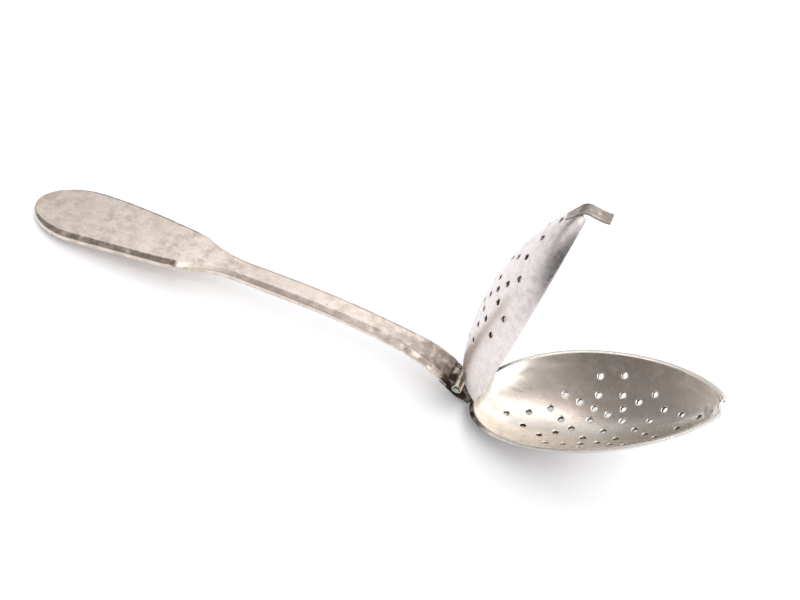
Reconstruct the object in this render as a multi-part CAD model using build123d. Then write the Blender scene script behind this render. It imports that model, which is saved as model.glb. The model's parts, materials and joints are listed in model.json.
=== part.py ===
"""Tea infuser spoon: a pierced silver bowl on a forged handle, closed by a pierced, hinged lid with a thumb catch.

Frame: X runs from the handle's end to the bowl's tip, Y along the hinge pin, Z up. The spoon stands as it rests on
a table, on the underside of its handle's end and on the belly of its bowl, with its lid open.
Rim frame: X from the rim's heel to its tip, Z = 0 in the rim's plane. Hinge frame: the pin's axis is the origin.
Lengths are in millimetres and angles in degrees.
"""

from build123d import *
from collections import namedtuple
import math
import os

# Rim, shared by the bowl and the lid
rim_length = 52.2
rim_half_width = 15.6
heel_half_width = 2.1
tip_half_width = 2.25
widest_from_heel = 0.41 * rim_length
deepest_from_heel = 0.494 * rim_length
edge_depth = 1.2  # drop of the wall at the very heel and tip

# Shells; fullness is the power of the middle line towards the heel and the tip, greater where the curve is leaner
bowl_depth = 9.4
bowl_wall = 0.75
bowl_fullness = (0.58, 0.88)
lid_height = 8.7
lid_wall = 0.7
lid_fullness = (0.45, 0.78)
rim_gap = 0.15  # between the two rims with the lid shut
shell_stations = 18

# Piercing: a lattice across the middle, and a lozenge towards each end, both laid out in shares of the rim
hole_diameter = 1.3
bowl_pierce_middle = 0.507 * rim_length  # from the heel
lid_pierce_middle = 0.516 * rim_length
lattice_root = 0.133 * rim_length  # where the lattice meets the centre line, from the pierced middle
lattice_reach = 0.189 * rim_length  # to its outermost holes
lattice_half_width = 0.5 * rim_half_width
flank_reach = 0.051 * rim_length
flank_half_width = 0.75 * rim_half_width
lozenge_length = 0.265 * rim_length
lozenge_half_width = 0.279 * rim_half_width

# Hinge
rim_drop = 4.1  # the rim's plane lies this far below the pin
rim_setback = 1.75  # and its heel this far in front of it
knuckle_radius = 1.05
pin_radius = 0.45
pin_clearance = 0.05  # all round, in the lid's knuckle
hinge_width = 7.8
lid_knuckle_length = 3.3
knuckle_gap = 0.1  # between neighbouring knuckle ends
head_radius = 0.85
head_height = 0.45
leaf_width = 3.0
leaf_thickness = 0.8
lid_open_angle = 53.8  # from shut to where the lid stands at rest

# Thumb catch
catch_width = 2.9
catch_thickness = 0.65
catch_reach = 4.0  # below the rim with the lid shut
catch_lap = 3.0  # length soldered on the lid's tip
catch_clearance = 0.45  # to the bowl's tip
notch_width = 4.2
notch_depth = 0.5

# Handle
handle_rise = 29.6  # between the rim's plane and the handle's lie
handle_drop = 4.6  # the end's top below the pin
handle_length = 99.5  # from the end to the pin
plate_half_width = 8.2
end_round = 11.5  # length of the half-oval end
plate_length = 35.0
shoulder_half_width = 6.0
shoulder_length = 9.0
stem_half_width = 2.9
waist_half_width = 2.7
root_half_width = 3.9
plate_thickness = 2.0
stem_thickness = 2.2
root_thickness = 2.5
slot_back = 2.35  # the slot's back wall behind the pin
knuckle_relief = 0.15  # under the lid's knuckle
root_drop = 0.3  # of the root's top below the rim's heel


def swell(s, length, crest, heel_powers, tip_powers):
    """0 at both ends and 1 at the crest: (1 - x^a)^b on each side, x being the share of the way to that end."""
    side, (a, b) = (crest, heel_powers) if s < crest else (length - crest, tip_powers)
    x = min(1.0, abs(s - crest) / side)
    return (1 - x**a) ** b


def half_width(s, inset=0.0):
    """Half width of a rim at s from its heel."""
    end = heel_half_width if s < widest_from_heel else tip_half_width
    rise = swell(s - inset, rim_length - 2 * inset, widest_from_heel - inset, (1.92, 0.495), (2.0, 0.71))
    return end - inset + (rim_half_width - end) * rise


Form = namedtuple("Form", "depth wall fullness pierce_middle round_section")
bowl_form = Form(bowl_depth, bowl_wall, bowl_fullness, bowl_pierce_middle, False)
lid_form = Form(lid_height, lid_wall, lid_fullness, lid_pierce_middle, True)


def depth_at(s, form, inset=0.0):
    """Depth of a shell's middle line below its rim at s from the heel."""
    to_heel, to_tip = form.fullness
    rise = swell(s - inset, rim_length - 2 * inset, deepest_from_heel - inset, (1.94, to_heel), (1.57, to_tip))
    return edge_depth + (form.depth - inset - edge_depth) * rise


def surface_point(s, y, form):
    """Point of a shell's outside at s from the heel and y from the middle line, on an arc or a parabola."""
    w = half_width(s)
    d = depth_at(s, form)
    if form.round_section:
        radius = (w * w + d * d) / (2 * d)
        return Vector(s, y, radius - d - math.sqrt(radius**2 - y**2))
    return Vector(s, y, -d * (1 - (y / w) ** 2))


def hollow(form, inset=0.0):
    """Solid below the rim's plane, lofted through sections that crowd together at both ends."""
    sections = []
    for k in range(shell_stations + 1):
        s = inset + (rim_length - 2 * inset) * (1 - math.cos(math.pi * k / shell_stations)) / 2
        w = half_width(s, inset)
        d = depth_at(s, form, inset)
        if form.round_section:
            curve = ThreePointArc((-w, 0), (0, -d), (w, 0))
        else:
            curve = Bezier((-w, 0), (0, -2 * d), (w, 0))
        sections.append(Plane((s, 0, 0), x_dir=(0, 1, 0), z_dir=(1, 0, 0)) * make_face(curve + Line((-w, 0), (w, 0))))
    return loft(sections)


def hole_places(middle):
    """Places (s, y) of the holes about the pierced middle, the same on both sides of the centre line."""
    centre = [middle]
    crossing = lattice_half_width * (lattice_root / (lattice_root + lattice_reach)) ** 0.62
    half = [(middle, crossing)]
    for way in (-1, 1):
        root = middle + way * lattice_root
        for share in (0.2, 0.6, 0.8, 1.0):
            back = way * share * (lattice_root + lattice_reach)
            half.append((root - back, lattice_half_width * share**0.62))
        half += [(middle + way * flank_reach, share * flank_half_width) for share in (0.72, 1.0)]
        corner = root + way * 0.4 * lozenge_length
        end = root + way * lozenge_length
        half += [((root + corner) / 2, lozenge_half_width / 2), (corner, lozenge_half_width),
                 ((corner + end) / 2, lozenge_half_width / 2)]
        centre += [root, end]
    return [(s, 0) for s in centre] + half + [(s, -y) for s, y in half]


def shell(form):
    """Raised and pierced shell below its rim's plane."""
    drills = []
    for s, y in hole_places(form.pierce_middle):
        here = surface_point(s, y, form)
        ahead = surface_point(s + 0.1, y, form) - here
        across = surface_point(s, y + 0.1, form) - here
        drills.append(Plane(here, z_dir=across.cross(ahead)) * Cylinder(hole_diameter / 2, 4 * form.wall))
    return hollow(form) - hollow(form, form.wall) - drills


# Places of the rim frame in the hinge frame, shut and open
tilt = Rot(0, -handle_rise, 0)
shut = tilt * Pos(rim_setback, 0, -rim_drop)
opened = Rot(0, -lid_open_angle, 0)


def make_bowl():
    """Pierced bowl with a notch in its tip for the thumb catch."""
    notch = Pos(rim_length, 0, 0) * Box(2 * notch_depth, notch_width, 4 * edge_depth)
    return shut * (shell(bowl_form) - notch)


def make_lid():
    """Pierced lid: the same shell turned over."""
    dome = mirror(shell(lid_form), about=Plane.XY)
    return opened * shut * Pos(0, 0, rim_gap) * dome


def camber():
    """Top line of the handle: from its end, over the arched stem, down to the rim's heel."""
    heel = shut * Pos(0, 0, -root_drop)
    return Spline(
        (-handle_length, 0, -handle_drop),
        (-0.8 * handle_length, 0, -0.2 * handle_drop),
        (-0.55 * handle_length, 0, 2.0),
        (-0.17 * handle_length, 0, 4.2),
        (-5.0, 0, 2.1),
        (heel.position.X, 0, heel.position.Z),
    )


def handle_section(half, thickness, bevel, under):
    """Eight-sided section under the top line: bevelled above, and drawn in by a wider bevel below."""
    drop = 0.7 * bevel
    side = [(half - bevel, 0), (half, -drop), (half, -thickness + 0.6 * under), (half - under, -thickness)]
    return make_face(Polyline(*side, *[(-y, z) for y, z in reversed(side)], close=True))


def make_handle():
    """Forged handle: oval-ended plate, shouldered stem, and a root that runs under the hinge to the bowl's heel."""
    line = camber()
    length = line.length
    stations = []
    for angle in (8, 25, 42, 60, 78):
        turn = math.radians(angle)
        share = math.sin(turn)
        stations.append((end_round * (1 - math.cos(turn)), plate_half_width * share, plate_thickness,
                         0.8 * share, 0.5 * share))
    shoulder_end = plate_length + shoulder_length
    stem_length = length - shoulder_end
    stations += [
        (1.6 * end_round, 0.965 * plate_half_width, plate_thickness, 0.8, 0.5),
        (0.8 * plate_length, 0.5 * (plate_half_width + shoulder_half_width), plate_thickness, 0.8, 0.5),
        (plate_length, shoulder_half_width, plate_thickness, 0.8, 0.5),
        (plate_length + shoulder_length / 2, (shoulder_half_width + waist_half_width) / 2, plate_thickness, 0.8, 0.6),
        (shoulder_end, waist_half_width, stem_thickness, 0.9, 0.7),
        (shoulder_end + 0.2 * stem_length, stem_half_width, stem_thickness, 1.0, 0.8),
        (shoulder_end + 0.6 * stem_length, stem_half_width, stem_thickness, 1.1, 0.9),
        (length - 12.0, 0.4 * stem_half_width + 0.6 * root_half_width, stem_thickness, 1.2, 1.1),
        (length - 6.8, root_half_width, root_thickness, 1.3, 1.6),
        (length - 4.4, root_half_width, root_thickness, 1.3, 2.0),
        (length - 2.0, 0.5 * (root_half_width + heel_half_width) + 0.1, root_thickness, 0.9, 1.5),
        (length, heel_half_width + 0.3, 2.0, 0.5, 0.9),
    ]
    sections = []
    for distance, half, thickness, bevel, under in stations:
        at = distance / length
        plane = Plane(line @ at, x_dir=(0, 1, 0), z_dir=line % at)
        sections.append(plane * handle_section(half, thickness, bevel, under))
    forged = loft(sections)
    slot_length = 20.0
    slot = Pos(slot_length / 2 - slot_back, 0, slot_length / 2) * Box(slot_length, slot_length, slot_length)
    seat = Rot(90, 0, 0) * Cylinder(knuckle_radius, 4 * root_half_width)
    relief_length = lid_knuckle_length + 2 * knuckle_gap
    relief = Rot(90, 0, 0) * Cylinder(knuckle_radius + knuckle_relief, relief_length)
    trough = Pos(-slot_back / 2, 0, 0) * Box(slot_back, 4 * root_half_width, knuckle_radius)
    bowl_space = shut * hollow(bowl_form)
    return forged - slot - trough - seat - relief - bowl_space


def tube(length, bore_radius, centre):
    """Knuckle on the pin's axis."""
    wall = Cylinder(knuckle_radius, length) - Cylinder(bore_radius, length)
    return Pos(0, centre, 0) * Rot(90, 0, 0) * wall


def make_outer_knuckle(side):
    """Knuckle soldered in the handle's seat; side is -1 or +1 along Y."""
    inner = lid_knuckle_length / 2 + knuckle_gap
    outer = hinge_width / 2
    return tube(outer - inner, pin_radius, side * (inner + outer) / 2)


def make_lid_knuckle():
    """Middle knuckle, carried by the lid's leaf."""
    return tube(lid_knuckle_length, pin_radius + pin_clearance, 0)


def make_leaf():
    """Strap from the lid's knuckle to the lid's heel, bedded on the dome."""
    reach = rim_setback + heel_half_width + 1.0
    strap = Pos(reach / 2, 0, 0) * Box(reach, leaf_width, leaf_thickness)
    strap -= Rot(90, 0, 0) * Cylinder(knuckle_radius, 2 * leaf_width)
    place = tilt * Pos(rim_setback, 0, rim_gap - rim_drop)
    dome_space = place * mirror(hollow(lid_form), about=Plane.XY)
    return opened * (tilt * strap - dome_space)


def make_pin():
    """Hinge pin, peened to a low dome at each end."""
    shank = Cylinder(pin_radius, hinge_width)
    dome_radius = (head_radius**2 + head_height**2) / (2 * head_height)
    head = Pos(0, 0, head_height - dome_radius) * Sphere(dome_radius)
    head &= Pos(0, 0, head_height / 2) * Cylinder(2 * head_radius, head_height)
    top = Pos(0, 0, hinge_width / 2) * head
    return Rot(90, 0, 0) * (shank + top + mirror(top, about=Plane.XY))


def make_catch():
    """Strip bent over the lid's tip: soldered along the dome, then down past the bowl's notch, its end flared."""
    inner = rim_length + catch_clearance
    start = rim_length - catch_lap
    lift = depth_at(start, lid_form)
    path = FilletPolyline(
        (start - 0.3, lift),
        (inner + catch_thickness / 2, 0.9),
        (inner + 0.1, -0.75 * catch_reach),
        (inner + 0.45, -catch_reach),
        radius=0.7,
    )
    outline = offset(path, catch_thickness / 2, side=Side.BOTH)
    strip = extrude(Plane.XZ * make_face(outline), catch_width / 2, both=True)
    strip -= mirror(hollow(lid_form), about=Plane.XY)
    return opened * shut * Pos(0, 0, rim_gap) * strip


def settle_angle():
    """Turn about the pin that brings the handle's end and the bowl's belly down to one level."""
    end = (Plane(camber() @ 0, x_dir=(0, 1, 0), z_dir=camber() % 0) * Pos(0, -plate_thickness, 0)).position
    slopes = []
    for k in range(1, 400):
        s = rim_length * k / 400
        belly = (shut * Pos(s, 0, -depth_at(s, bowl_form))).position
        slopes.append(math.degrees(math.atan2(belly.Z - end.Z, belly.X - end.X)))
    return min(slopes)


nodes = {
    "handle": make_handle(),
    "bowl": make_bowl(),
    "near_knuckle": make_outer_knuckle(-1),
    "far_knuckle": make_outer_knuckle(1),
    "hinge_pin": make_pin(),
    "lid": make_lid(),
    "lid_knuckle": make_lid_knuckle(),
    "lid_leaf": make_leaf(),
    "thumb_catch": make_catch(),
}

settle = Rot(0, settle_angle(), 0)
box = Compound([settle * part for part in nodes.values()]).bounding_box()
stand = Pos(-box.center().X, 0, -box.min.Z) * settle

os.makedirs("parts", exist_ok=True)
for name, part in nodes.items():
    export_step(stand * part, f"parts/{name}.step")
hinge = stand.position
print(f"settle {settle_angle():.3f}")
print(f"hinge axis through X {hinge.X:.3f}, Z {hinge.Z:.3f}")
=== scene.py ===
import json
import math

import bpy
import numpy as np
from mathutils import Matrix


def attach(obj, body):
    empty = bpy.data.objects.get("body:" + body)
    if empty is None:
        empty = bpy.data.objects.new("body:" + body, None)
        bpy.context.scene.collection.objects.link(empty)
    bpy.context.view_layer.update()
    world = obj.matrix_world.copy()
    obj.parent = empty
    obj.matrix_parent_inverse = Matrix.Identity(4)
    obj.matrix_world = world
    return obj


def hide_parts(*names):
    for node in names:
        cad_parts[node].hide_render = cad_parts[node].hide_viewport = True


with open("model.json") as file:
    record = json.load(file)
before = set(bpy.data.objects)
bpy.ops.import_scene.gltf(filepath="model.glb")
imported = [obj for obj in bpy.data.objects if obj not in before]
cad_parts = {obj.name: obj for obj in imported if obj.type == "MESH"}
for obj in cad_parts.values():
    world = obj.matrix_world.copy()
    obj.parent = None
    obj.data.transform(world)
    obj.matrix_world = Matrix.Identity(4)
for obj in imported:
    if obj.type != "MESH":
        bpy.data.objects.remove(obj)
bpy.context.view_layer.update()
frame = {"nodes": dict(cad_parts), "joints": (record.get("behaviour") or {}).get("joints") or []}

# ---- Handle --------------------------------------------------------------------------------------
# One silver forging: an oval-ended plate with bevelled edges, drawn in at the shoulders to a narrow
# arched stem, whose root widens under the hinge and is soldered to the bowl's heel. A slot sawn
# across the root takes the knuckles.

# Every piece is worked out in the hinge frame, in millimetres: the pin's axis is the origin, X runs
# towards the bowl and Z up, with the handle as it was forged. The spoon then settles on the table by
# turning slightly about the pin.
hinge = 1000.0 * np.array(frame["joints"][0]["pos_m"])
settle = math.radians(0.728)
handle_rise = math.radians(29.6)
rim_setback = 1.75
rim_drop = 4.1


def turned(points, angle):
    """Points turned about the pin so that the bowl's tip rises: a rotation in the XZ plane."""
    x, y, z = np.moveaxis(np.asarray(points, float), -1, 0)
    return np.stack([x * math.cos(angle) - z * math.sin(angle), y,
                     x * math.sin(angle) + z * math.cos(angle)], -1)


def in_row(points):
    """Hinge frame to row frame, in metres: the settling turn and then the hinge's own place."""
    return (turned(points, -settle) + hinge) / 1000.0


def shut_rim(points):
    """Rim frame to hinge frame: the heel set forward of and below the pin, the rim tipped up."""
    return turned(np.asarray(points, float) + (rim_setback, 0, -rim_drop), handle_rise)


def piece(name, points, faces, body, node, material, attributes=()):
    """Mesh from points in the row frame and faces as arrays of quads, shaded smooth, riding on a body."""
    mesh = bpy.data.meshes.new(name)
    quads = np.concatenate(faces).astype(np.int32)
    mesh.vertices.add(len(points))
    mesh.vertices.foreach_set("co", points.astype(np.float32).ravel())
    mesh.loops.add(quads.size)
    mesh.loops.foreach_set("vertex_index", quads.ravel())
    mesh.polygons.add(len(quads))
    mesh.polygons.foreach_set("loop_start", np.arange(0, quads.size, 4, dtype=np.int32))
    mesh.update(calc_edges=True)
    mesh.polygons.foreach_set("use_smooth", np.ones(len(quads), bool))
    for label, values in attributes:
        layer = mesh.attributes.new(label, "FLOAT", "POINT")
        layer.data.foreach_set("value", values.astype(np.float32).ravel())
    mesh.materials.append(material)
    made = bpy.data.objects.new(name, mesh)
    bpy.context.scene.collection.objects.link(made)
    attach(made, body)
    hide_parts(node)


def strip(rows, columns, ring=False):
    """Quads of a grid numbered row by row; a ring joins the last column to the first."""
    index = np.arange(rows * columns).reshape(rows, columns)
    if ring:
        index = np.hstack([index, index[:, :1]])
    return np.stack([index[:-1, :-1], index[1:, :-1], index[1:, 1:], index[:-1, 1:]], -1).reshape(-1, 4)


def end_caps(rows, columns):
    """Quads closing both ends of a ring strip, each round a middle point numbered after the strip's."""
    around = np.arange(0, columns, 2)
    second, third, last = (around + 1) % columns, (around + 2) % columns, (rows - 1) * columns
    start, end = (np.full(len(around), rows * columns + k) for k in (0, 1))
    return [np.stack([start, around, second, third], -1),
            np.stack([end, last + third, last + second, last + around], -1)]


# Old silver, hand polished many times: bright metal under a thin yellow-brown tarnish that lies in
# blotches, with hairline scratches along the work, fine pitting, black sulphide in the corners, the
# same black laid on as painted shade where a piece asks for it, and bare metal on every worn edge.
def silver(name, bright, tarnish, cover, blotch, rough, grain, pits, scratch_axis):
    """Metal coloured from bright to tarnish by layered noise, and to black, sulphide and painted shade
    alike, where the patina attribute is high.
    """
    material = bpy.data.materials.new(name)
    material.use_nodes = True
    nodes, links = material.node_tree.nodes, material.node_tree.links
    metal = nodes["Principled BSDF"]
    metal.inputs["Metallic"].default_value = 1.0
    place = nodes.new("ShaderNodeTexCoord").outputs["Object"]

    def noise(scale, detail, roughness, stretch=(1, 1, 1)):
        """Noise in metres, drawn out along the axes where the stretch is small."""
        mapping = nodes.new("ShaderNodeMapping")
        mapping.inputs["Scale"].default_value = stretch
        links.new(place, mapping.inputs["Vector"])
        texture = nodes.new("ShaderNodeTexNoise")
        texture.inputs["Scale"].default_value = scale
        texture.inputs["Detail"].default_value = detail
        texture.inputs["Roughness"].default_value = roughness
        links.new(mapping.outputs["Vector"], texture.inputs["Vector"])
        return texture.outputs["Fac"]

    def ramp(value, low, high, start=0.0, end=1.0):
        """Value mapped smoothly from low..high to start..end."""
        span = nodes.new("ShaderNodeMapRange")
        span.interpolation_type = "SMOOTHSTEP"
        for socket, number in zip(("From Min", "From Max", "To Min", "To Max"), (low, high, start, end)):
            span.inputs[socket].default_value = number
        links.new(value, span.inputs["Value"])
        return span.outputs["Result"]

    def sums(operation, first, second):
        """Math node on two values, either of which may be a number; the result is kept within 0 to 1."""
        node = nodes.new("ShaderNodeMath")
        node.operation = operation
        node.use_clamp = True
        for socket, value in zip(node.inputs, (first, second)):
            if isinstance(value, (int, float)):
                socket.default_value = value
            else:
                links.new(value, socket)
        return node.outputs["Value"]

    def blended(amount, first, second):
        """Colour mixed from first to second by amount."""
        node = nodes.new("ShaderNodeMix")
        node.data_type = "RGBA"
        links.new(amount, node.inputs["Factor"])
        for socket, value in ((node.inputs["A"], first), (node.inputs["B"], second)):
            if isinstance(value, tuple):
                socket.default_value = (*value, 1.0)
            else:
                links.new(value, socket)
        return node.outputs["Result"]

    patina_and_shade = nodes.new("ShaderNodeAttribute")
    patina_and_shade.attribute_name = "patina_and_shade"
    wear = nodes.new("ShaderNodeAttribute")
    wear.attribute_name = "wear"
    mottle = noise(blotch, 7.0, 0.66)
    speck = noise(1500.0, 4.0, 0.6)
    streaks = noise(900.0, 3.0, 0.6, tuple(0.03 if axis == scratch_axis else 1.0 for axis in "XYZ"))
    drift = noise(0.16 * blotch, 3.0, 0.5)
    stain = sums("MULTIPLY", ramp(mottle, 0.40, 0.68), ramp(drift, 0.34, 0.62, 0.35 * cover, 1.25 * cover))
    stain = sums("ADD", stain, ramp(speck, 0.48, 0.74, 0.0, 0.55 * cover))
    stain = sums("SUBTRACT", stain, sums("MULTIPLY", wear.outputs["Fac"], 0.7))
    colour = blended(stain, bright, tarnish)
    colour = blended(ramp(streaks, 0.5, 0.75, 0.0, 0.35), colour, tuple(0.72 * c for c in bright))
    pit = ramp(noise(1300.0, 2.0, 0.5), 0.66, 0.78)
    pit = sums("MULTIPLY", pit, pits)
    colour = blended(pit, colour, tuple(0.3 * c for c in tarnish))
    # This black marks real sulphide and also painted shade, wherever a piece sets the attribute for either
    black = sums("MULTIPLY", patina_and_shade.outputs["Fac"], ramp(noise(420.0, 5.0, 0.7), 0.28, 0.55, 0.35, 1.0))
    black = sums("SUBTRACT", black, sums("MULTIPLY", wear.outputs["Fac"], 0.5))
    colour = blended(black, colour, (0.060, 0.043, 0.030))
    links.new(colour, metal.inputs["Base Color"])
    dull = sums("ADD", sums("MULTIPLY", stain, 0.16), sums("MULTIPLY", black, 0.3))
    dull = sums("ADD", dull, ramp(streaks, 0.4, 0.7, rough - 0.04, rough + 0.05))
    links.new(sums("ADD", dull, sums("MULTIPLY", pit, 0.2)), metal.inputs["Roughness"])

    def relief(height, distance, under=None):
        """Bump of that height in metres laid over an earlier one."""
        bump = nodes.new("ShaderNodeBump")
        bump.inputs["Strength"].default_value = 1.0
        bump.inputs["Distance"].default_value = distance
        links.new(height, bump.inputs["Height"])
        if under is not None:
            links.new(under, bump.inputs["Normal"])
        return bump.outputs["Normal"]

    dents = relief(noise(60.0, 2.0, 0.4), 0.00016 * grain)
    hairs = relief(streaks, 0.0000035 * grain, dents)
    pocks = relief(sums("SUBTRACT", 1.0, pit), 0.00003, hairs)
    links.new(pocks, metal.inputs["Normal"])
    return material


handle_length = 99.5
handle_drop = 4.6
end_round = 11.5
plate_length, shoulder_length = 35.0, 9.0
plate_half, shoulder_half, waist_half, stem_half, root_half = 8.2, 6.0, 2.7, 2.9, 3.9
heel_half = 2.1
slot_back = 2.35
knuckle_radius = 1.05
root_drop = 0.35


def smooth_curve(knots, values, at):
    """Natural cubic spline through values at the knots: its curvatures solve one small linear system."""
    knots, values = np.asarray(knots, float), np.asarray(values, float)
    gaps = np.diff(knots)
    slopes = np.diff(values, axis=0) / gaps.reshape(-1, *[1] * (values.ndim - 1))
    count = len(knots)
    system = np.eye(count)
    right = np.zeros_like(values)
    inner = np.arange(1, count - 1)
    system[inner, inner - 1], system[inner, inner + 1] = gaps[:-1], gaps[1:]
    system[inner, inner] = 2 * (gaps[:-1] + gaps[1:])
    right[1:-1] = 6 * np.diff(slopes, axis=0)
    bend = np.linalg.solve(system, right)
    k = np.clip(np.searchsorted(knots, at) - 1, 0, count - 2)
    shape = (-1, *[1] * (values.ndim - 1))
    h, a, b = gaps[k].reshape(shape), (at - knots[k]).reshape(shape), (knots[k + 1] - at).reshape(shape)
    return (bend[k] * b**3 + bend[k + 1] * a**3) / (6 * h) + (values[k] / h - bend[k] * h / 6) * b \
        + (values[k + 1] / h - bend[k + 1] * h / 6) * a


def between(at, *stations):
    """Value at a distance, eased by a half cosine from each (distance, value) station to the next."""
    places, values = np.array(stations).T
    k = np.clip(np.searchsorted(places, at) - 1, 0, len(places) - 2)
    share = np.clip((at - places[k]) / (places[k + 1] - places[k]), 0, 1)
    return values[k] + (values[k + 1] - values[k]) * (1 - np.cos(math.pi * share)) / 2


heel = shut_rim((0, 0, -root_drop))
crest_points = np.array([(-handle_length, -handle_drop), (-0.8 * handle_length, -0.2 * handle_drop),
                         (-0.55 * handle_length, 2.0), (-0.17 * handle_length, 4.2), (-5.0, 2.1),
                         (heel[0], heel[2])])
chords = np.concatenate([[0], np.cumsum(np.hypot(*np.diff(crest_points, axis=0).T))])
fine = np.linspace(0, chords[-1], 4000)
crest = smooth_curve(chords, crest_points, fine)
travelled = np.concatenate([[0], np.cumsum(np.hypot(*np.diff(crest, axis=0).T))])
length = travelled[-1]
slot_at = travelled[np.argmax(crest[:, 0] > -slot_back)]
turns = np.linspace(0.02, math.pi / 2, 26)
distance = np.concatenate([end_round * (1 - np.cos(turns)), np.linspace(end_round, slot_at, 230)[1:-1],
                           [slot_at - 0.03, slot_at + 0.03], np.linspace(slot_at, length, 40)[1:]])
crest_x = np.interp(distance, travelled, crest[:, 0])
crest_z = np.interp(distance, travelled, crest[:, 1])
lean = np.interp(distance, travelled, np.arctan2(np.gradient(crest[:, 1]), np.gradient(crest[:, 0])))
shoulder_end = plate_length + shoulder_length
stem_length = length - shoulder_end
root_from, root_full = length - 6.8, length - 4.4
rounding = np.sqrt(1 - np.clip(1 - distance / end_round, 0, 1) ** 2)


def half_at(corner):
    """Half width along the handle when the plate ends at that corner: an oval end, a taper, a hollow
    shoulder drawn in to the waist, then the stem and its widened root."""
    taper = np.clip((distance - end_round) / (corner - end_round), 0, 1) ** 1.5
    drawn_in = np.clip(1 - (distance - corner) / (1.35 * shoulder_length), 0, 1) ** 2.1
    stem = between(distance, (corner, waist_half), (shoulder_end + 0.3 * stem_length, stem_half),
                   (shoulder_end + 0.6 * stem_length, stem_half), (root_from, root_half),
                   (root_full, root_half), (length, heel_half + 0.3))
    return np.where(distance < corner, plate_half * rounding - (plate_half - shoulder_half) * taper,
                    stem + (shoulder_half - waist_half) * drawn_in)


# Hammered by eye: the far shoulder begins further along the handle than the near one
far_corner, near_corner = plate_length + 3.0, plate_length + 1.0
far_half, near_half = half_at(far_corner), half_at(near_corner)
thick = between(distance, (0, 2.0), (plate_length, 2.0), (shoulder_end, 2.2), (length - 12, 2.2),
                (root_from, 2.5), (length - 3.0, 2.5), (length, 2.0))
bevel = rounding * between(distance, (0, 1.0), (plate_length, 1.0), (shoulder_end, 0.9),
                           (shoulder_end + 0.6 * stem_length, 1.1), (root_from, 1.3),
                           (root_full, 1.3), (length, 0.5))
under = rounding * between(distance, (0, 0.5), (plate_length, 0.5), (shoulder_end, 0.7),
                           (shoulder_end + 0.6 * stem_length, 0.9), (root_from, 1.6),
                           (root_full, 2.0), (length, 0.9))


def rounded_ring(corners, softness, steps):
    """Closed ring round each station's corners: each corner is a small parabola between its edges."""
    before, after = np.roll(corners, 1, 1), np.roll(corners, -1, 1)

    def cut(other):
        away = other - corners
        span = np.maximum(np.hypot(away[..., 0], away[..., 1]), 1e-6)[..., None]
        return corners + away * np.minimum(softness[..., None] / span, 0.42)

    t = np.linspace(0, 1, steps)[None, None, :, None]
    start, end, middle = cut(before)[:, :, None], cut(after)[:, :, None], corners[:, :, None]
    ring = (1 - t) ** 2 * start + 2 * t * (1 - t) * middle + t**2 * end
    return ring.reshape(len(corners), -1, 2)


def one_side(half):
    """The four corners of one side of the section: top, side above, side below and bottom."""
    return np.stack([np.stack([half - bevel, 0 * half], -1), np.stack([half, -0.7 * bevel], -1),
                     np.stack([half, -thick + 0.6 * under], -1), np.stack([half - under, -thick], -1)], 1)


corners = np.concatenate([one_side(far_half), one_side(near_half)[:, ::-1] * (-1, 1)], 1)
soft_side = np.array([0.22, 0.16, 0.3, 0.5])
softness = np.broadcast_to(np.concatenate([soft_side, soft_side[::-1]]), corners.shape[:2])
ring = rounded_ring(corners, softness, 6)
x = crest_x[:, None] - ring[..., 1] * np.sin(lean)[:, None]
z = crest_z[:, None] + ring[..., 1] * np.cos(lean)[:, None]
y = ring[..., 0]
# Two old nicks in the near edge: shallow dents that fade within about a millimetre
nick_half_length = 0.55
for nick_x, nick_depth in ((-65.2, 0.25), (-13.2, 0.3)):
    dent = nick_depth * np.exp(-((x - nick_x) / nick_half_length) ** 2) * (y < -0.75 * near_half[:, None])
    y = y + dent
# The slot's floor: level behind the knuckles, and a cradle of their own radius under them
cradle = -np.sqrt(np.clip(knuckle_radius**2 - x**2, 0, None))
floor = np.where(x < knuckle_radius, np.minimum(cradle, -0.02), 0.0)
floor = np.where(x < -knuckle_radius, -knuckle_radius / 2, floor)
floor = np.where((x > -knuckle_radius) & (x < 0), np.minimum(floor, -knuckle_radius / 2), floor)
z = np.where(x > -slot_back, np.minimum(z, floor), z)
rows, columns = x.shape
points = np.stack([x, y, z], -1).reshape(-1, 3)
points = np.vstack([points, [(x[0].mean(), 0, z[0].mean()), (x[-1].mean(), 0, z[-1].mean())]])
# Sulphide gathers on top of the root and in the slot, and the low side is darker too; rows of these
# tables are the section's corners and their columns the steps round each corner
on_top = np.zeros((8, 6))
on_top[0], on_top[7] = (1.0, 1.0, 0.8, 0.5, 0.3, 0.25), (0.25, 0.3, 0.5, 0.8, 1.0, 1.0)
on_top[(1, 6), :] = 0.25
on_top = np.append(np.tile(on_top.ravel(), rows), [0, 0])
near_hinge = np.clip((points[:, 0] + 30.0) / 29.0, 0, 1) ** 1.4 * np.maximum(on_top, points[:, 0] > -4.0)
low_side = np.clip((-ring[..., 1] - 0.6) / 1.0, 0, 1)
low_side = np.append(low_side.ravel(), [0, 0])
# The plate's upper bevels carry a painted band of shade that fades out along the stem
on_bevel = np.zeros((8, 6))
on_bevel[(0, 7), :] = (0.1, 0.5, 0.9, 1.0, 1.0, 1.0)
on_bevel[(1, 6), :] = (1.0, 0.8, 0.3, 0.0, 0.0, 0.0)
on_bevel[7], on_bevel[6] = on_bevel[7, ::-1], on_bevel[6, ::-1]
bevel_shade_strength = between(distance, (0, 0.72), (plate_length, 0.75), (plate_length + 1.5, 0.0),
                    (shoulder_end, 0.15), (shoulder_end + 6, 0.5), (shoulder_end + 0.5 * stem_length, 0.4),
                    (root_from, 0.3), (length, 0.3))
painted_bevel_shade = np.append((bevel_shade_strength[:, None] * on_bevel.ravel()).ravel(), [0, 0])
in_slot = points[:, 0] > -slot_back - 0.05
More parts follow.
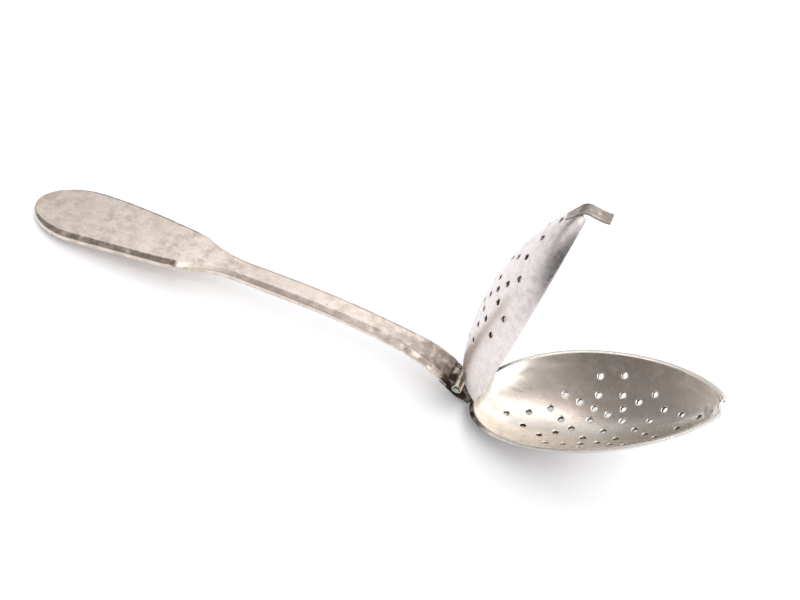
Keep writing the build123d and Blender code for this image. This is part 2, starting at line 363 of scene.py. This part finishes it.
# Sulphide by the hinge and in the slot, summed with the painted shade on the bevels and the darker low
# side
sulphide_and_shade = np.clip(near_hinge * 0.7 + in_slot * 0.6 + 0.3 * low_side + painted_bevel_shade, 0, 1)
edge = np.zeros((rows, len(corners[0]), 6))
edge[:, (1, 6)] = (0.1, 0.7, 1.0, 1.0, 0.7, 0.1)
edge[:, (2, 3, 4, 5)] = (0.1, 0.3, 0.5, 0.5, 0.3, 0.1)
worn = np.append(edge.reshape(rows, -1) * (x < -slot_back), [0, 0])
handle_silver = silver("handle_silver", (0.83, 0.72, 0.64), (0.50, 0.40, 0.32), cover=0.55, blotch=420.0,
                       rough=0.36, grain=1.0, pits=0.5, scratch_axis="X")
piece("handle_forging", in_row(points), [strip(rows, columns, ring=True), *end_caps(rows, columns)],
      "spoon", "handle", handle_silver, [("patina_and_shade", sulphide_and_shade), ("wear", worn)])

# ---- Bowl ----------------------------------------------------------------------------------------
# Raised from one disc of sheet, so its wall is even and its rim is filed flat. The holes are drilled
# square to the sheet in a lattice with a lozenge towards each end, and a notch filed in the tip
# passes the thumb catch.
rim_length = 52.2
rim_half, tip_half = 15.6, 2.25
widest, deepest = 0.41 * rim_length, 0.494 * rim_length
rim_powers, depth_powers = ((1.92, 0.495), (2.0, 0.71)), (1.94, 1.57)
edge_depth = 1.2
side_reach = 1.05
hole_radius = 0.65
lattice_root, lattice_reach, lattice_half = 0.133 * rim_length, 0.189 * rim_length, 0.5 * rim_half
flank_reach, flank_half = 0.051 * rim_length, 0.75 * rim_half
lozenge_length, lozenge_half = 0.265 * rim_length, 0.279 * rim_half
lattice_power, lozenge_corner = 0.62, 0.4
notch_half, notch_depth, notch_length = 2.1, 0.5, 1.2
rim_softening = 0.16


def swell(s, inset, crest_at, heel_powers, tip_powers):
    """0 at both ends of the rim and 1 at the crest: (1 - x^a)^b on each side, where x is the share of
    the way from the crest to that end."""
    a, span = s - inset, rim_length - 2 * inset
    top = crest_at - inset
    to_heel, to_tip = np.clip((top - a) / top, 0, 1), np.clip((a - top) / (span - top), 0, 1)
    return np.where(a < top, (1 - to_heel ** heel_powers[0]) ** heel_powers[1],
                    (1 - to_tip ** tip_powers[0]) ** tip_powers[1])


def rim_half_width(s, inset=0.0):
    """Half width of the rim at s from the heel."""
    end = np.where(s < widest, heel_half, tip_half)
    return end - inset + (rim_half - end) * swell(s, inset, widest, *rim_powers)


def depth_at(s, depth, fullness, inset=0.0):
    """Depth of the middle line below the rim at s from the heel; a greater fullness is a leaner curve."""
    share = swell(s, inset, deepest, (depth_powers[0], fullness[0]), (depth_powers[1], fullness[1]))
    return edge_depth + (depth - inset - edge_depth) * share


def drop_at(y, w, d, rounded):
    """Depth below the rim at y across a section of half width w: a circular arc, or else a parabola."""
    radius = (w * w + d * d) / (2 * d)
    arc = np.sqrt(np.maximum(radius * radius - y * y, 0)) - (radius - d)
    return arc if rounded else d * (1 - (y / w) ** 2)


def skin(u, v, depth, fullness, rounded, inset=0.0):
    """Shell surface: u runs from heel to tip by a half cosine and v from one rim to the other by a
    sine, which keeps the cells even where the section is steep. Also each point's distance to the
    rim beside it."""
    s = inset + (rim_length - 2 * inset) * (1 - np.cos(math.pi * u)) / 2
    w, d = rim_half_width(s, inset), depth_at(s, depth, fullness, inset)
    y = w * np.sin(side_reach * v) / math.sin(side_reach)
    drop = drop_at(y, w, d, rounded)
    return np.stack([s, y, -drop], -1), np.hypot(w - np.abs(y), drop)


def hole_places(middle):
    """(s, y) of every hole about the pierced middle, the same on both sides of the centre line."""
    centre = [middle]
    spread = lattice_root + lattice_reach
    half_side = [(middle, lattice_half * (lattice_root / spread) ** lattice_power)]
    for way in (-1, 1):
        root = middle + way * lattice_root
        half_side += [(root - way * share * spread, lattice_half * share**lattice_power)
                      for share in (0.2, 0.6, 0.8, 1.0)]
        half_side += [(middle + way * flank_reach, share * flank_half) for share in (0.72, 1.0)]
        corner, end = root + way * lozenge_corner * lozenge_length, root + way * lozenge_length
        half_side += [((root + corner) / 2, lozenge_half / 2), (corner, lozenge_half),
                      ((corner + end) / 2, lozenge_half / 2)]
        centre += [root, end]
    return np.array([(s, 0.0) for s in centre] + half_side + [(s, -y) for s, y in half_side])


def pierced_shell(depth, wall, fullness, middle, rounded, notch, rows=330, columns=124):
    """Shell with thickness: an outer and an inner grid, the cells inside a hole taken out, the corners
    round it drawn onto its circle, and every open edge of the two grids joined by a narrow wall."""
    u, v = np.meshgrid(np.linspace(0, 1, rows + 1), np.linspace(-1, 1, columns + 1), indexing="ij")
    outer, to_rim = skin(u, v, depth, fullness, rounded)
    inner, _ = skin(u, v, depth, fullness, rounded, wall)
    ahead = np.gradient(outer, axis=0)
    across = np.gradient(outer, axis=1)
    normal = np.cross(across, ahead)
    normal /= np.linalg.norm(normal, axis=-1, keepdims=True)
    normal *= np.where(normal[..., 2:] > 0, -1, 1)
    # Away from the rim the inner face lies square under the outer one; near it, it keeps its own skin
    margin = np.minimum(np.minimum(outer[..., 0], rim_length - outer[..., 0]), to_rim)
    near = np.clip((4.2 - margin) / 2.6, 0, 1)[..., None]
    near = near * near * (3 - 2 * near)
    inner = near * inner + (1 - near) * (outer - wall * normal)
    if notch:
        filed = np.clip(1 - (rim_length - outer[..., 0]) / notch_length, 0, 1)
        filed = filed * (np.abs(outer[..., 1]) < notch_half)
        outer[..., 0] -= notch_depth * filed
        inner[..., 0] -= 0.6 * notch_depth * filed
    s, y = hole_places(middle).T
    centres = np.stack([s, y, -drop_at(y, rim_half_width(s), depth_at(s, depth, fullness), rounded)], -1)
    flat, flat_normal = outer.reshape(-1, 3), normal.reshape(-1, 3)
    nearest = np.array([np.argmin(((flat - c) ** 2).sum(-1)) for c in centres])
    axes = flat_normal[nearest]

    def off_axis(grid):
        """Vectors from every hole's axis to every point, square to the axis, and their lengths."""
        away = grid[None] - centres[:, None, None]
        away = away - (away * axes[:, None, None]).sum(-1, keepdims=True) * axes[:, None, None]
        return away, np.linalg.norm(away, axis=-1)

    cells = (outer[:-1, :-1] + outer[1:, :-1] + outer[1:, 1:] + outer[:-1, 1:]) / 4
    gone = off_axis(cells)[1].min(0) < hole_radius
    kept = ~gone
    touched = np.zeros(outer.shape[:2], bool)
    staying = np.zeros(outer.shape[:2], bool)
    for a, b in ((0, 0), (1, 0), (0, 1), (1, 1)):
        touched[a:a + rows, b:b + columns] |= gone
        staying[a:a + rows, b:b + columns] |= kept
    lip = touched & staying
    for grid in (outer, inner):
        away, reach = off_axis(grid)
        owner = reach.argmin(0)
        pick = np.take_along_axis(away, owner[None, :, :, None], 0)[0]
        span = np.take_along_axis(reach, owner[None], 0)[0][..., None]
        moved = grid + pick * (hole_radius / np.maximum(span, 1e-6) - 1)
        grid[lip] = moved[lip]
    index = np.arange((rows + 1) * (columns + 1)).reshape(rows + 1, columns + 1)
    quads = np.stack([index[:-1, :-1], index[:-1, 1:], index[1:, 1:], index[1:, :-1]], -1)[kept]
    total = index.size
    edges = np.concatenate([quads[:, [k, (k + 1) % 4]] for k in range(4)])
    key = np.sort(edges, 1)
    _, first, count = np.unique(key[:, 0] * total + key[:, 1], return_index=True, return_counts=True)
    rim_edges = edges[first[count == 1]]
    used = np.unique(rim_edges)
    flat_outer, flat_inner = outer.reshape(-1, 3), inner.reshape(-1, 3)
    at_hole = lip.ravel()[used]
    loops = [flat_outer[used] + share * (flat_inner[used] - flat_outer[used]) for share in (0.22, 0.78)]
    on_rim = used[~at_hole]
    flat_outer[on_rim, 2] -= rim_softening
    flat_inner[on_rim, 2] -= rim_softening
    lookup = np.full(total, -1)
    lookup[used] = np.arange(len(used))
    a, b = rim_edges.T
    between_grids = [2 * total + k * len(used) + lookup for k in (0, 1)]
    levels = [(a, b), *((level[a], level[b]) for level in between_grids), (a + total, b + total)]
    walls = [np.stack([q, p, r, t], -1) for (p, q), (r, t) in zip(levels[:-1], levels[1:])]
    points = np.concatenate([flat_outer, flat_inner, *loops])
    worn = np.concatenate([lip.ravel(), lip.ravel(), np.zeros(2 * len(used))]).astype(float)
    # The walls of the holes are painted dark as shade, so each hole looks dark like shade seen through it
    hole_wall_shade = np.concatenate([np.zeros(2 * total), np.tile(at_hole, 2)])
    rim_line = np.concatenate([(to_rim < 0.15).ravel()] * 2 + [np.tile(~at_hole, 2)])
    faces = [quads, quads[:, ::-1] + total, *walls]
    live = np.unique(np.concatenate(faces))
    renumber = np.full(len(points), -1)
    renumber[live] = np.arange(len(live))
    outside = np.concatenate([np.ones(total), np.zeros(total), np.full(2 * len(used), 0.5)])
    # The rim is bright except at the heel, where the cloth never reaches under the hinge
    rim_line = rim_line * np.clip((points[:, 0] - 4.0) / 5.0, 0, 1)
    worn = np.maximum(worn, rim_line)
    return points[live], [renumber[f] for f in faces], worn[live], outside[live], hole_wall_shade[live]


points, faces, worn, outside, hole_wall_shade = pierced_shell(
    9.4, 0.75, (0.58, 0.88), middle=0.507 * rim_length, rounded=False, notch=True)
heel_stain = np.clip(1.25 - points[:, 0] / 9.0, 0, 1) * (outside > 0.4) * (hole_wall_shade < 0.5)
# Outside, the bowl is darkened, most towards the heel; inside, a broad area of the far wall carries a
# painted dark reflection
outside_darkening = 0.55 * (outside > 0.9) * np.clip(1.6 - points[:, 0] / 28.0, 0, 1)
painted_far_reflection = (0.45 * (outside < 0.1) * np.clip((points[:, 1] - 2.0) / 9.0, 0, 1)
            * np.clip((points[:, 0] - 8) / 14, 0, 1))
# The hole walls' share of this darkening is painted shade
dark = np.maximum(np.maximum(heel_stain, outside_darkening), np.maximum(painted_far_reflection, hole_wall_shade))
bowl_silver = silver("bowl_silver", (0.88, 0.82, 0.75), (0.62, 0.53, 0.42), cover=0.3, blotch=260.0,
                     rough=0.28, grain=0.8, pits=0.2, scratch_axis="X")
piece("bowl_shell", in_row(shut_rim(points)), faces, "spoon", "bowl", bowl_silver,
      [("patina_and_shade", dark), ("wear", worn)])

# ---- Lid -----------------------------------------------------------------------------------------
# The same raised and pierced sheet turned over, a little thinner, and better polished outside because
# the thumb and the cloth reach it. Its rim meets the bowl's rim when shut.
lid_open = math.radians(53.8)
rim_gap = 0.15
lid_height, lid_fullness = 8.7, (0.45, 0.78)


def opened_rim(points):
    """The same for the lid: lifted by the gap between the rims and turned open about the pin."""
    return turned(shut_rim(np.asarray(points, float) + (0, 0, rim_gap)), lid_open)


points, faces, worn, outside, hole_wall_shade = pierced_shell(
    lid_height, 0.7, lid_fullness, middle=0.516 * rim_length, rounded=True, notch=False)
points = points * (1, 1, -1)
faces = [f[:, ::-1] for f in faces]
lid_silver = silver("lid_silver", (0.75, 0.69, 0.67), (0.46, 0.39, 0.37), cover=0.35, blotch=300.0,
                    rough=0.27, grain=0.9, pits=0.3, scratch_axis="X")
heel_stain = 0.7 * np.clip(1.0 - points[:, 0] / 2.5, 0, 1)
# The lid's hole walls are painted dark as shade, as the bowl's are
piece("lid_shell", in_row(opened_rim(points)), faces, "lid", "lid", lid_silver,
      [("patina_and_shade", np.maximum(heel_stain, hole_wall_shade)), ("wear", worn)])

# ---- Hinge ---------------------------------------------------------------------------------------
# Three knuckles of drawn tube: the outer two are soldered in the handle's slot, the middle one hangs
# the lid by a short leaf. A hard pin runs through all three and is peened over at its ends, where
# verdigris has grown.
hinge_width, lid_knuckle_length, knuckle_gap = 7.8, 3.3, 0.1
pin_radius, pin_clearance = 0.45, 0.05
head_radius, head_height = 0.85, 0.45


def lathed(profile, steps=64):
    """Closed profile of (place along the pin, radius) pairs turned about the pin's axis; their order
    sets which way the faces look."""
    profile = np.asarray(profile, float)
    angle = np.linspace(0, 2 * math.pi, steps, endpoint=False)[None]
    along, radius = profile[:, :1], profile[:, 1:]
    turned_points = np.stack([radius * np.cos(angle), along + 0 * angle, radius * np.sin(angle)], -1)
    return turned_points.reshape(-1, 3), len(profile), steps


def tube_profile(start, end, bore, outer, soft=0.09):
    """Section of a tube with softened corners, closed on itself."""
    quarter = np.linspace(0, math.pi / 2, 5)
    curve = []
    for along, radius, way, out in ((start, outer, 1, -1), (end, outer, -1, -1),
                                    (end, bore, -1, 1), (start, bore, 1, 1)):
        arc = np.stack([along + way * soft * (1 - np.cos(quarter)),
                        radius + out * soft * (1 - np.sin(quarter))], -1)
        curve.append(arc if way * out < 0 else arc[::-1])
    curve = np.concatenate(curve)
    return np.vstack([curve, curve[:1]])


hinge_silver = silver("hinge_silver", (0.76, 0.66, 0.57), (0.42, 0.33, 0.25), cover=0.6, blotch=500.0,
                      rough=0.34, grain=0.6, pits=0.4, scratch_axis="Y")
inner_end = lid_knuckle_length / 2 + knuckle_gap
for name, node, body, start, end, bore in (
        ("knuckle_near", "near_knuckle", "spoon", -hinge_width / 2, -inner_end, pin_radius),
        ("knuckle_far", "far_knuckle", "spoon", inner_end, hinge_width / 2, pin_radius),
        ("knuckle_of_lid", "lid_knuckle", "lid", -lid_knuckle_length / 2, lid_knuckle_length / 2,
         pin_radius + pin_clearance)):
    points, rows, columns = lathed(tube_profile(start, end, bore, knuckle_radius))
    low = np.clip(0.3 - points[:, 2], 0, 1)
    ends = np.maximum(np.exp(-((points[:, 1] - start) / 0.15) ** 2),
                      np.exp(-((points[:, 1] - end) / 0.15) ** 2))
    piece(name, in_row(points), [strip(rows, columns, ring=True)], body, node, hinge_silver,
          [("patina_and_shade", np.clip(0.8 * low, 0, 1)), ("wear", 0.9 * ends)])

pin_metal = silver("pin_metal", (0.52, 0.60, 0.54), (0.16, 0.27, 0.23), cover=0.9, blotch=900.0,
                   rough=0.45, grain=0.6, pits=0.6, scratch_axis="Y")
dome_radius = (head_radius**2 + head_height**2) / (2 * head_height)
sweep = np.linspace(0, math.asin(head_radius / dome_radius), 14)
half_end = hinge_width / 2
dome = np.stack([half_end + head_height - dome_radius * (1 - np.cos(sweep)),
                 dome_radius * np.sin(sweep)], -1)
shank = np.array([[half_end, head_radius - 0.04], [half_end, pin_radius]])
profile = np.vstack([dome, shank])
profile = np.vstack([profile, profile[::-1] * (-1, 1)])
points, rows, columns = lathed(profile, 48)
# The outer ring of each peened head is painted dark as the shadow of its gap against the knuckle
painted_gap_shadow = np.clip((np.hypot(points[:, 0], points[:, 2]) - 0.5) / 0.3, 0, 1)
piece("pin_peened", in_row(points), [strip(rows, columns, ring=True)[:, ::-1]], "spoon", "hinge_pin",
      pin_metal, [("patina_and_shade", 0.8 * painted_gap_shadow), ("wear", 0 * painted_gap_shadow)])

leaf = frame["nodes"]["lid_leaf"]
leaf.data.materials.clear()
leaf.data.materials.append(hinge_silver)

# ---- Thumb catch ---------------------------------------------------------------------------------
# A strip of sheet bent over the lid's tip and soldered there. It reaches down past the notch in the
# bowl's tip, and its free end is flared a little for the thumb nail.
catch_width, catch_thickness = 2.9, 0.65
catch_reach, catch_lap, catch_clearance = 4.0, 3.0, 0.45


def bent(corners, radius, steps):
    """Path through corners, each inner one rounded by a parabola that starts and ends that far off."""
    path = [corners[0]]
    for before, corner, after in zip(corners[:-2], corners[1:-1], corners[2:]):
        one = corner + radius * (before - corner) / np.linalg.norm(before - corner)
        two = corner + radius * (after - corner) / np.linalg.norm(after - corner)
        t = np.linspace(0, 1, steps)[:, None]
        path.extend((1 - t) ** 2 * one + 2 * t * (1 - t) * corner + t**2 * two)
    return np.array([*path, corners[-1]])


inner_face = rim_length + catch_clearance
middle_of_strip = inner_face + catch_thickness / 2
lap_start = rim_length - catch_lap
route = bent(np.array([(lap_start - 0.2, depth_at(np.array(lap_start), lid_height, lid_fullness) + 0.1),
                       (middle_of_strip, 1.0), (middle_of_strip + 0.1, -0.75 * catch_reach),
                       (middle_of_strip + 0.45, -catch_reach)]), 1.15, 11)
legs = np.gradient(route, axis=0)
legs /= np.linalg.norm(legs, axis=1, keepdims=True)
ends_in = np.minimum(np.arange(len(route)), np.arange(len(route))[::-1])
trim = np.where(ends_in == 0, 0.82, 1.0)
# The lap was hammered and filed down to a feather edge where it meets the dome
feather = np.clip((route[:, 0] - lap_start) / (0.8 * catch_lap), 0, 1)
half_w, half_t = trim * catch_width / 2, trim * catch_thickness / 2 * (0.25 + 0.75 * feather)
corners = np.stack([np.stack([half_w, half_t], -1), np.stack([half_w, -half_t], -1),
                    np.stack([-half_w, -half_t], -1), np.stack([-half_w, half_t], -1)], 1)
ring = rounded_ring(corners, np.full(corners.shape[:2], 0.16), 5)
out = np.stack([-legs[:, 1], legs[:, 0]], -1)
s = route[:, None, 0] + ring[..., 1] * out[:, None, 0]
z = route[:, None, 1] + ring[..., 1] * out[:, None, 1]
rows, columns = s.shape
points = np.stack([s, ring[..., 0], z], -1).reshape(-1, 3)
points = np.vstack([points, [(s[0].mean(), 0, z[0].mean()), (s[-1].mean(), 0, z[-1].mean())]])
worn = np.append(np.tile(np.tile((0.2, 0.7, 1.0, 0.7, 0.2), 4), rows), [0, 0])
catch_silver = silver("catch_silver", (0.70, 0.62, 0.57), (0.34, 0.28, 0.24), cover=0.7, blotch=500.0,
                      rough=0.30, grain=0.7, pits=0.4, scratch_axis="Z")
# The catch's tarnish is its own; the even dark laid over the whole strip is painted shade
piece("thumb_catch_strip", in_row(opened_rim(points)),
      [strip(rows, columns, ring=True), *end_caps(rows, columns)], "lid", "thumb_catch",
      catch_silver, [("patina_and_shade", np.full(len(points), 0.72)), ("wear", worn)])

# ---- Table, light and camera ---------------------------------------------------------------------
# A white table that runs out of view, a soft key light from the near right, weaker ones from the left
# and the far side, in a room that is bright overhead and darker towards its walls, and a camera
# looking down from the front.
table_mesh = bpy.data.meshes.new("table")
reach = 3.0
table_mesh.from_pydata([(-reach, -reach, 0), (reach, -reach, 0), (reach, reach, 0), (-reach, reach, 0)],
                       [], [(0, 1, 2, 3)])
table = bpy.data.objects.new("table", table_mesh)
bpy.context.scene.collection.objects.link(table)
paper = bpy.data.materials.new("table_white")
paper.use_nodes = True
# A little light of the table's own, as lit translucent sheet has, keeps its shadows pale
for socket, value in (("Base Color", (0.93, 0.93, 0.94, 1)), ("Roughness", 0.55),
                      ("Emission Color", (0.96, 0.97, 1.0, 1)), ("Emission Strength", 0.17)):
    paper.node_tree.nodes["Principled BSDF"].inputs[socket].default_value = value
table_mesh.materials.append(paper)


def stood(axes, place):
    """Placement whose columns are three axes and the place."""
    return Matrix([(*row, p) for row, p in zip(np.stack(axes, 1), place)] + [(0, 0, 0, 1)])


def softbox(name, place, aim, size, power, colour):
    """Rectangular area light at a place, facing the aim."""
    light = bpy.data.lights.new(name, "AREA")
    light.shape = "RECTANGLE"
    light.size, light.size_y = size
    light.energy = power
    light.color = colour
    lamp = bpy.data.objects.new(name, light)
    bpy.context.scene.collection.objects.link(lamp)
    away = np.array(place, float) - np.array(aim, float)
    away /= np.linalg.norm(away)
    sideways = np.cross((0, 0, 1) if abs(away[2]) < 0.99 else (0, 1, 0), away)
    sideways /= np.linalg.norm(sideways)
    lamp.matrix_world = stood([sideways, np.cross(away, sideways), away], place)


softbox("key_softbox", (0.40, -0.44, 0.805), (0, 0, 0), (0.6, 0.6), 4.0, (1.0, 0.985, 0.97))
softbox("left_softbox", (-0.95, 0.1, 0.55), (0, 0, 0), (0.5, 0.9), 1.2, (1.0, 0.98, 0.98))
softbox("far_softbox", (0.25, 0.95, 0.55), (0, 0, 0), (0.7, 0.35), 1.6, (1.0, 0.98, 0.96))
world = bpy.data.worlds.new("room")
world.use_nodes = True
sky, wires = world.node_tree.nodes, world.node_tree.links
direction = sky.new("ShaderNodeTexCoord")
rise = sky.new("ShaderNodeVectorMath")
rise.operation = "DOT_PRODUCT"
rise.inputs[1].default_value = (0, 0.32, 0.95)
wires.new(direction.outputs["Generated"], rise.inputs[0])
square = sky.new("ShaderNodeMath")
square.operation = "MULTIPLY"
above = sky.new("ShaderNodeClamp")
wires.new(rise.outputs["Value"], above.inputs["Value"])
wires.new(above.outputs["Result"], square.inputs[0])
wires.new(above.outputs["Result"], square.inputs[1])
glow = sky.new("ShaderNodeMath")
glow.operation = "MULTIPLY_ADD"
glow.inputs[1].default_value = 1.5
glow.inputs[2].default_value = 0.10
wires.new(square.outputs["Value"], glow.inputs[0])
wires.new(glow.outputs["Value"], sky["Background"].inputs["Strength"])
sky["Background"].inputs["Color"].default_value = (0.96, 0.98, 1.0, 1)
bpy.context.scene.world = world
bpy.context.scene.view_settings.view_transform = "Standard"

camera_place = np.array([12.18, -215.93, 224.50])
camera_right = np.array([0.9057, 0.3539, 0.2334])
camera_up = np.array([-0.4124, 0.6079, 0.6786])
lens_share = 1.872  # focal length as a share of the picture's width
camera_data = bpy.data.cameras.new("camera")
camera_data.sensor_width = 36.0
camera_data.lens = lens_share * camera_data.sensor_width
camera_data.clip_start = 0.01
camera = bpy.data.objects.new("camera", camera_data)
bpy.context.scene.collection.objects.link(camera)
right, up = turned(camera_right, -settle), turned(camera_up, -settle)
right /= np.linalg.norm(right)
back = np.cross(right, up)
back /= np.linalg.norm(back)
up = np.cross(back, right)
camera.matrix_world = stood([right, up, back], in_row(camera_place))
bpy.context.scene.camera = camera
